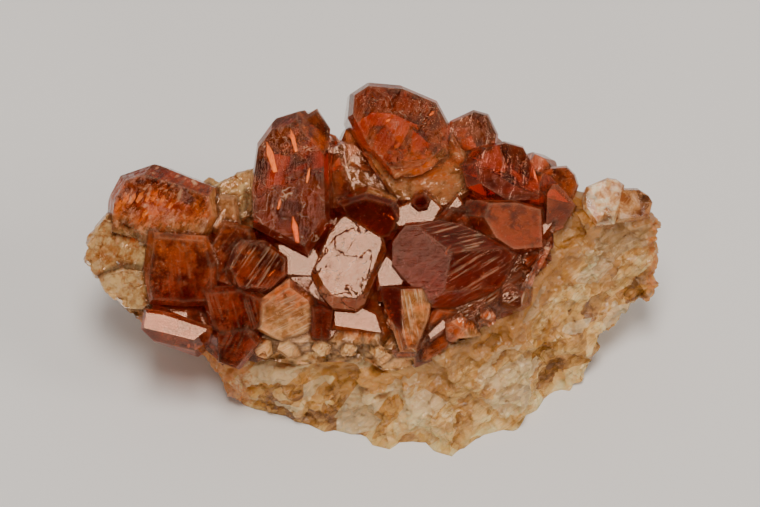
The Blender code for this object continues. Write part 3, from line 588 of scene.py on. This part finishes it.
# Larger cleavage flakes just under a face: middle across and up, half length, half width, and
# the slope of its length in degrees.
FLAKES = (
    (-16.7, 49.4, 3.0, 0.55, 106), (-13.0, 52.2, 2.2, 0.38, 104), (-12.7, 37.4, 2.5, 0.50, 100),
    (-15.4, 41.8, 1.1, 0.20, 75), (-10.6, 46.5, 1.5, 0.20, 80), (-42.4, 41.6, 1.2, 0.42, 62),
    (-41.2, 42.5, 1.3, 0.46, 60), (-39.9, 42.8, 1.1, 0.40, 63), (-38.7, 43.0, 1.3, 0.44, 58),
    (-37.4, 42.9, 0.9, 0.36, 62), (-36.3, 43.2, 1.1, 0.40, 60), (-34.9, 42.7, 0.8, 0.34, 64),
    (-33.6, 41.6, 0.7, 0.30, 60), (-43.4, 39.6, 1.0, 0.60, 40), (-37.9, 40.3, 0.8, 0.30, 55),
    (26.4, 49.6, 1.6, 0.16, 100), (27.3, 46.6, 1.4, 0.18, 108), (10.0, 57.0, 0.6, 0.22, 45),
    (2.7, 55.8, 0.5, 0.22, 30), (-16.6, 30.3, 1.0, 0.10, 48), (6.4, 24.6, 1.4, 0.16, 70),
    (0.6, 47.9, 1.8, 0.35, 120), (-3.6, 49.2, 1.6, 0.30, 60),
)

random.seed(FLECK_SEED)
flecks = []


def inside_crust(point):
    """True for a world point that lies in the crystals, clear of their faces."""
    spot, outwards, _, gap = crust_tree.find_nearest(point)
    return gap > FLECK_MARGIN * MM and (spot - point).dot(outwards) > 0


def world_point(across, up, out):
    return (LEANING_ORIGIN + ACROSS * across + UPSLOPE * up + OUTWARD * out) * MM


def random_way():
    return Vector([random.gauss(0, 1) for _ in range(3)]).normalized()


def add_fleck(spot, facing, size):
    """One fleck of any roll and width there."""
    flecks.append((spot, facing, random_way(), Vector((size, size * random.uniform(*FLECK_WIDTH), size))))


def inner_way(outer, normal):
    """The way inside a crystal of light that comes from that way outside its face."""
    aside = (outer - normal * outer.dot(normal)) / CRYSTAL_INDEX
    return aside + normal * math.sqrt(1 - aside.length_squared)


for look in CRYSTALS.values():
    (middle_across, middle_up), (wide, high), level = look.middle, look.reach, look.level
    share = min(1.0, wide * high / 30)
    for _ in range(round(VEILS_EACH * share) + 1):
        middle = world_point(
            middle_across + random.uniform(-0.7, 0.7) * wide,
            middle_up + random.uniform(-0.7, 0.7) * high, level - random.uniform(0.6, 5),
        )
        way = random_way()
        along_veil = way.orthogonal().normalized()
        beside = way.cross(along_veil)
        reach = random.uniform(1.0, 3.2)
        for _ in range(FLECKS_IN_VEIL):
            away, turn = reach * random.random() ** 0.7, random.uniform(0, math.tau)
            bow = 0.25 * math.sin(away * 1.7 + turn)
            spot = middle + (along_veil * math.cos(turn) * away + beside * math.sin(turn) * away + way * bow) * MM
            if inside_crust(spot):
                facing = (way + random_way() * 0.25).normalized()
                add_fleck(spot, facing, random.uniform(*VEIL_SIZE))
    for _ in range(round(SPARKS_EACH * share) + 2):
        spot = world_point(
            middle_across + random.uniform(-1, 1) * wide,
            middle_up + random.uniform(-1, 1) * high, level - random.uniform(0.5, 4),
        )
        if inside_crust(spot):
            size = SPARK_SIZE[0] + (SPARK_SIZE[1] - SPARK_SIZE[0]) * random.random() ** 2.2
            add_fleck(spot, random_way(), size)

for across, up, length, width, lean in FLAKES:
    spot, outwards, _, _ = crust_tree.ray_cast(world_point(across, up, 30), -OUTWARD)
    facing = (inner_way(OUTWARD, outwards) + inner_way(KEY_WAY, outwards)).normalized()
    slope = math.radians(lean)
    run = ACROSS * math.cos(slope) + UPSLOPE * math.sin(slope)
    flecks.append((spot - outwards * FLAKE_DEPTH * MM, facing, run, Vector((length, width, 1))))
print("flecks", len(flecks))

fleck_points = bpy.data.meshes.new("fleck_points")
fleck_points.from_pydata([spot for spot, _, _, _ in flecks], [], [])
for number, name in ((1, "facing"), (2, "along"), (3, "size")):
    values = fleck_points.attributes.new(name, "FLOAT_VECTOR", "POINT")
    values.data.foreach_set("vector", [value for fleck in flecks for value in fleck[number]])

golden, start, place = material_tree("golden_fleck")
patchy = start.noise(place, 0.8, 3.0)
start.node("OutputMaterial", None, {"Surface": start.node("BsdfPrincipled", None, {
    "Base Color": patchy.ramp((0.35, (1.0, 0.55, 0.25)), (0.65, (1.0, 0.84, 0.62))),
    "Roughness": 0.34, "IOR": 1.8, "Metallic": 0.4,
})})

fleck_tree = bpy.data.node_groups.new("flecks", "GeometryNodeTree")
for name, kind, way in (
    ("Geometry", "NodeSocketGeometry", "INPUT"), ("Corners", "NodeSocketInt", "INPUT"),
    ("Material", "NodeSocketMaterial", "INPUT"), ("Geometry", "NodeSocketGeometry", "OUTPUT"),
):
    fleck_tree.interface.new_socket(name, in_out=way, socket_type=kind)


def geometry_node(kind, settings=None, inputs=None):
    """A node of the flecks' tree, with its settings first and then its values or links."""
    made = fleck_tree.nodes.new(kind)
    for name, setting in (settings or {}).items():
        setattr(made, name, setting)
    for key, value in (inputs or {}).items():
        if isinstance(value, bpy.types.NodeSocket):
            fleck_tree.links.new(value, made.inputs[key])
        else:
            made.inputs[key].default_value = value
    return made


given = geometry_node("NodeGroupInput").outputs
disc = geometry_node("GeometryNodeMeshCircle", {"fill_type": "NGON"}, {"Vertices": given["Corners"], "Radius": 1.0})
facing, run, size = (
    geometry_node("GeometryNodeInputNamedAttribute", {"data_type": "FLOAT_VECTOR"}, {"Name": name})
    .outputs["Attribute"] for name in ("facing", "along", "size")
)
turned = geometry_node("FunctionNodeAlignRotationToVector", {"axis": "Z"}, {"Vector": facing})
rolled = geometry_node("FunctionNodeAlignRotationToVector", {"axis": "X", "pivot_axis": "Z"}, {
    "Rotation": turned.outputs["Rotation"], "Vector": run,
})
in_metres = geometry_node("ShaderNodeVectorMath", {"operation": "SCALE"}, {0: size, "Scale": MM})
placed = geometry_node("GeometryNodeInstanceOnPoints", None, {
    "Points": given["Geometry"], "Instance": disc.outputs["Mesh"],
    "Rotation": rolled.outputs["Rotation"], "Scale": in_metres.outputs[0],
})
real = geometry_node("GeometryNodeRealizeInstances", None, {"Geometry": placed.outputs["Instances"]})
dressed = geometry_node("GeometryNodeSetMaterial", None, {
    "Geometry": real.outputs["Geometry"], "Material": given["Material"],
})
geometry_node("NodeGroupOutput", None, {"Geometry": dressed.outputs["Geometry"]})

seeds = bpy.data.objects.new("fleck_seeds", fleck_points)
bpy.context.scene.collection.objects.link(seeds)
grow = seeds.modifiers.new("flecks", "NODES")
grow.node_group = fleck_tree
named = {item.name: item.identifier for item in fleck_tree.interface.items_tree if item.in_out == "INPUT"}
grow[named["Corners"]] = 5
grow[named["Material"]] = golden
bpy.context.view_layer.update()
graph = bpy.context.evaluated_depsgraph_get()
fleck_mesh = bpy.data.meshes.new_from_object(seeds.evaluated_get(graph))
bpy.data.objects.remove(seeds)
veils = bpy.data.objects.new("golden_flecks", fleck_mesh)
bpy.context.scene.collection.objects.link(veils)
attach(veils, "root")


# End pair: a pale crystal and a brownish one that stand clear of the crust.
pale, start, place = material_tree("pale_crystal")
AMBER_SIDE = (39.0, 44.0)
wisps = start.noise(place, 0.5, 5.0, 0.68, 0.5)
chips, shade, lines = shards(place, 3.0, 0.22, 2.7)
amber = start.node("SeparateXYZ", None, {"Vector": place}).between(*AMBER_SIDE)
relief = chips + lines * 0.03 + wisps * 0.15
bump = start.node("Bump", None, {"Height": relief, "Strength": 1.0, "Distance": MM})
clear = start.node("BsdfPrincipled", None, {
    "Base Color": (1.0, 0.54, 0.24, 1), "Roughness": 0.03, "IOR": 1.59, "Transmission Weight": 1.0,
    "Normal": bump,
})
mottled = wisps.ramp((0.38, (0.52, 0.15, 0.03)), (0.49, (0.95, 0.48, 0.18)), (0.58, (1.0, 0.76, 0.44)))
browned = wisps.ramp((0.38, (0.22, 0.06, 0.015)), (0.56, (0.60, 0.26, 0.09)), (0.70, (0.86, 0.52, 0.30)))
clouded = start.node("BsdfPrincipled", None, {
    "Base Color": mottled.blend(browned, amber), "Roughness": 0.10, "IOR": 1.59, "Normal": bump,
})
cloud_share = start.noise(place, 0.3, 3.0).between(0.30, 0.56) * 0.85
mixed = start.node("MixShader", None, {0: cloud_share, 1: clear, 2: clouded})
inside = start.node("VolumeAbsorption", None, {"Color": (0.9, 0.6, 0.35, 1), "Density": 65.0})
start.node("OutputMaterial", None, {"Surface": mixed, "Volume": inside})
pair = piece("pale_pair", merged("end_crystals"), pale)
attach(pair, "root")
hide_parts("end_crystals")


# Stage: a pale floor, one soft key light high in front, two dim panels beside the camera, a raking light from
# the right, a low strip light in front, and a camera that looks down at the specimen along its crystals' broad
# faces.
PIXELS_ACROSS = 760
PIXELS_PER_MM = 6.0
LENS, SENSOR = 200.0, 36.0

floor_shape = bmesh.new()
bmesh.ops.create_grid(floor_shape, x_segments=1, y_segments=1, size=4.0)
pale_floor, start, place = material_tree("pale_floor")
start.node("OutputMaterial", None, {"Surface": start.node(
    "BsdfPrincipled", None, {"Base Color": (0.91, 0.92, 0.93, 1), "Roughness": 0.9},
)})
floor = piece("floor", floor_shape, pale_floor)

aim = (LEANING_ORIGIN + ACROSS * 1.33 + UPSLOPE * 33.6 + OUTWARD * 4.0) * MM


def softbox(name, sideways, upward, distance, size, radiance, tint=(1, 1, 1)):
    """A soft light seen from the specimen along the outward direction, turned by those degrees."""
    turn, rise = math.radians(sideways), math.radians(upward)
    flat = OUTWARD * math.cos(turn) + ACROSS * math.sin(turn)
    towards = (flat * math.cos(rise) + UPSLOPE * math.sin(rise)).normalized()
    light = bpy.data.lights.new(name, "AREA")
    light.shape = "RECTANGLE"
    light.size, light.size_y = size
    light.energy = radiance * math.pi * size[0] * size[1]
    light.color = tint
    made = bpy.data.objects.new(name, light)
    bpy.context.scene.collection.objects.link(made)
    made.location = aim + towards * distance
    made.rotation_euler = towards.to_track_quat("Z", "Y").to_euler()


softbox("key", 0, 30, 1.1, (0.36, 0.58), 14.0, (1.0, 0.91, 0.82))
softbox("left_panel", -18, 6, 1.3, (0.22, 0.22), 2.5, (1.0, 0.90, 0.88))
softbox("right_panel", 12, 11, 1.3, (0.26, 0.18), 1.3, (1.0, 0.86, 0.78))
softbox("raking", 52, 14, 1.2, (0.3, 0.5), 6.0, (1.0, 0.90, 0.80))
softbox("low_strip", 4, -40, 1.2, (0.34, 0.07), 26.0, (1.0, 0.92, 0.82))

world = bpy.data.worlds.new("studio")
bpy.context.scene.world = world
world.use_nodes = True
world.node_tree.nodes.clear()
start = Field(world.node_tree)
facing = start.node("TexCoord", output="Generated").vector("DOT_PRODUCT", tuple(OUTWARD), "Value")
start.node("OutputWorld", None, {"Surface": start.node("Background", None, {
    "Color": (1.0, 0.94, 0.87, 1), "Strength": 0.45 - facing.between(0.35, 0.80) * 0.40,
})})

camera = bpy.data.objects.new("camera", bpy.data.cameras.new("camera"))
camera.data.lens = LENS
camera.data.sensor_width = SENSOR
camera.data.clip_start = 0.01
distance = LENS / SENSOR * PIXELS_ACROSS / PIXELS_PER_MM * MM
turned = Matrix((ACROSS, UPSLOPE, OUTWARD)).transposed().to_4x4()
camera.matrix_world = Matrix.Translation(aim + OUTWARD * distance) @ turned
bpy.context.scene.collection.objects.link(camera)
bpy.context.scene.camera = camera
